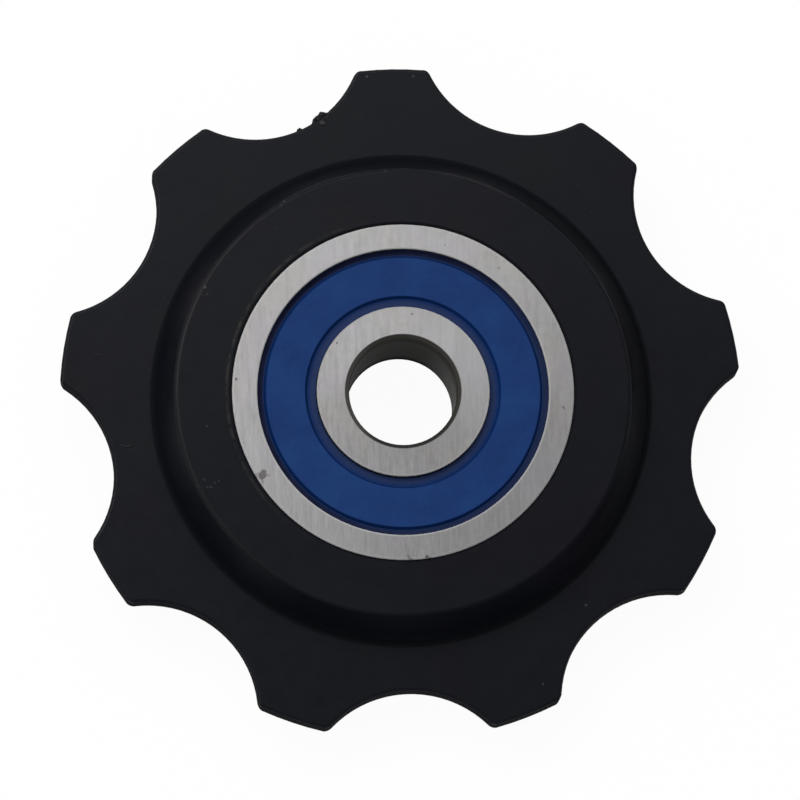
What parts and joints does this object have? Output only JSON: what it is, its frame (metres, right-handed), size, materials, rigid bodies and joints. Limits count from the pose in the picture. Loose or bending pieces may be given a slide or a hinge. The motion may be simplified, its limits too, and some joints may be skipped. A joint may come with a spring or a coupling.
{
  "type": "chain guide roller",
  "caption": "Toothed plastic roller that guides a bicycle chain, moulded round a sealed ball bearing with a plain bore for its axle bolt.",
  "frame": {"origin": "centre of the bearing's bore, in the middle of the width", "axes": "+Z along the axle towards the pictured face, +Y through the middle of one tooth"},
  "size_m": [0.038, 0.0375, 0.006],
  "materials": {
    "wheel_plastic": "satin moulded black",
    "ring_steel": "ground faces",
    "seal_rubber": "moulded blue",
    "cage_steel": "pressed strip",
    "ball_steel": "polished"
  },
  "bodies": {
    "fixed": {"inner_ring": "ring_steel"},
    "roller": {"toothed_wheel": "wheel_plastic", "outer_ring": "ring_steel", "seal_front": "seal_rubber", "seal_rear": "seal_rubber"},
    "cage": {"cage_front": "cage_steel", "cage_rear": "cage_steel", "cage_rivets": "cage_steel"},
    "ball_1": {"ball_1": "ball_steel"},
    "ball_2": {"ball_2": "ball_steel"},
    "ball_3": {"ball_3": "ball_steel"},
    "ball_4": {"ball_4": "ball_steel"},
    "ball_5": {"ball_5": "ball_steel"},
    "ball_6": {"ball_6": "ball_steel"}
  },
  "joints": [
    {"name": "wheel_spin", "type": "hinge", "parent": "fixed", "child": "roller", "pos_m": [0, 0, 0], "axis": [0, 0, 1], "continuous": true},
    {"name": "cage_spin", "type": "hinge", "parent": "fixed", "child": "cage", "pos_m": [0, 0, 0], "axis": [0, 0, 1], "continuous": true},
    {"name": "ball_1_spin", "type": "hinge", "parent": "cage", "child": "ball_1", "pos_m": [0, 0.00625, 0], "axis": [0, 0, 1], "continuous": true},
    {"name": "ball_2_spin", "type": "hinge", "parent": "cage", "child": "ball_2", "pos_m": [-0.00541, 0.00313, 0], "axis": [0, 0, 1], "continuous": true},
    {"name": "ball_3_spin", "type": "hinge", "parent": "cage", "child": "ball_3", "pos_m": [-0.00541, -0.00313, 0], "axis": [0, 0, 1], "continuous": true},
    {"name": "ball_4_spin", "type": "hinge", "parent": "cage", "child": "ball_4", "pos_m": [0, -0.00625, 0], "axis": [0, 0, 1], "continuous": true},
    {"name": "ball_5_spin", "type": "hinge", "parent": "cage", "child": "ball_5", "pos_m": [0.00541, -0.00313, 0], "axis": [0, 0, 1], "continuous": true},
    {"name": "ball_6_spin", "type": "hinge", "parent": "cage", "child": "ball_6", "pos_m": [0.00541, 0.00313, 0], "axis": [0, 0, 1], "continuous": true}
  ],
  "couplings": [
    {"joint": "cage_spin", "follows": "wheel_spin", "ratio": 0.64},
    {"joint": "ball_1_spin", "follows": "wheel_spin", "ratio": 1.6457},
    {"joint": "ball_2_spin", "follows": "wheel_spin", "ratio": 1.6457},
    {"joint": "ball_3_spin", "follows": "wheel_spin", "ratio": 1.6457},
    {"joint": "ball_4_spin", "follows": "wheel_spin", "ratio": 1.6457},
    {"joint": "ball_5_spin", "follows": "wheel_spin", "ratio": 1.6457},
    {"joint": "ball_6_spin", "follows": "wheel_spin", "ratio": 1.6457}
  ]
}
